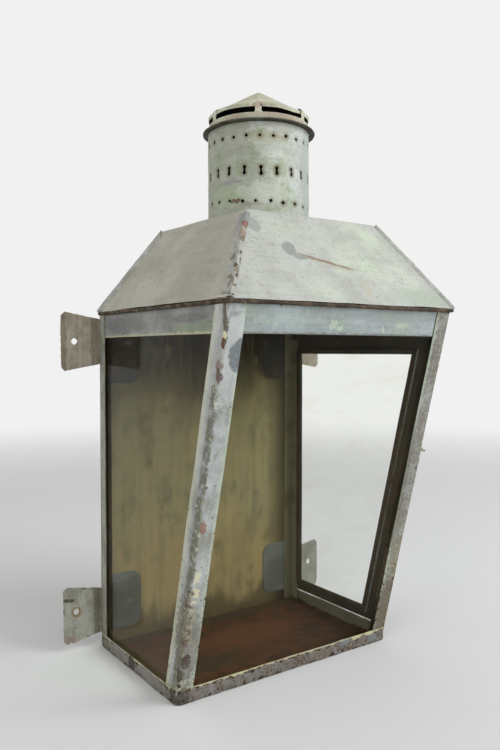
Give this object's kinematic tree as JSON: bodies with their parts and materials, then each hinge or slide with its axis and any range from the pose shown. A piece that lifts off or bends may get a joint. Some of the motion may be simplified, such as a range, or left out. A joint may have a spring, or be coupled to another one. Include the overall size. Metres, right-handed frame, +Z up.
{
  "type": "wall candle lantern",
  "caption": "Sheet-metal half lantern for a candle, with a flat back, wall ears, glazed sides, a side door with a turn catch, a hipped roof and a pierced chimney.",
  "frame": {"origin": "on the resting plane, at the middle of the outline, the wall on the +Y side", "axes": "+Z up, +Y towards the wall, +X towards the side with the door"},
  "size_m": [0.349, 0.2572, 0.5886],
  "materials": {
    "worn_paint": "worn, chipped grey paint over rust",
    "pale_paint": "brushed pale grey-green paint, stained",
    "rusty_iron": "bare rusty sheet iron, rough",
    "sooted_iron": "sooty, matt",
    "old_glass": "clear, slightly wavy and dusty",
    "iron_wire": "dull drawn wire"
  },
  "bodies": {
    "lantern_body": {"base_tray": "rusty_iron", "back_panel": "sooted_iron", "front_left_post": "worn_paint", "front_right_post": "worn_paint", "rear_left_post": "worn_paint", "rear_right_post": "worn_paint", "front_top_rail": "worn_paint", "left_top_rail": "worn_paint", "right_top_rail": "worn_paint", "front_glass": "old_glass", "left_glass": "old_glass", "front_left_glass_bead": "sooted_iron", "front_right_glass_bead": "sooted_iron", "rear_left_glass_bead": "sooted_iron", "eave_frame": "rusty_iron", "roof_front_panel": "pale_paint", "roof_back_panel": "pale_paint", "roof_left_panel": "pale_paint", "roof_right_panel": "pale_paint", "front_left_hip_seam": "pale_paint", "front_right_hip_seam": "pale_paint", "rear_left_hip_seam": "pale_paint", "rear_right_hip_seam": "pale_paint", "roof_top_plate": "pale_paint", "chimney_foot_collar": "pale_paint", "chimney_tube": "pale_paint", "chimney_head_ring": "rusty_iron", "crown_collar": "pale_paint", "crown_cap": "pale_paint", "upper_left_ear": "worn_paint", "lower_left_ear": "worn_paint", "upper_right_ear": "worn_paint", "lower_right_ear": "worn_paint", "upper_left_patch": "worn_paint", "lower_left_patch": "worn_paint", "upper_right_patch": "worn_paint", "lower_right_patch": "worn_paint", "upper_hinge_knuckle": "rusty_iron", "lower_hinge_knuckle": "rusty_iron", "hinge_wire": "iron_wire", "catch_rivet": "rusty_iron"},
    "side_door": {"door_front_stile": "worn_paint", "door_rear_stile": "worn_paint", "door_top_rail": "worn_paint", "door_bottom_rail": "worn_paint", "door_glass": "old_glass"},
    "turn_catch": {"turn_catch": "worn_paint"}
  },
  "joints": [
    {"name": "door_hinge", "type": "hinge", "parent": "lantern_body", "child": "side_door", "pos_m": [0.13435, 0.1204, 0.164], "axis": [0, 0, 1], "range_deg": [0, 90]},
    {"name": "catch_turn", "type": "hinge", "parent": "lantern_body", "child": "turn_catch", "pos_m": [0.1332, -0.08171, 0.212], "axis": [1, 0, 0], "range_deg": [-26, 64]}
  ]
}
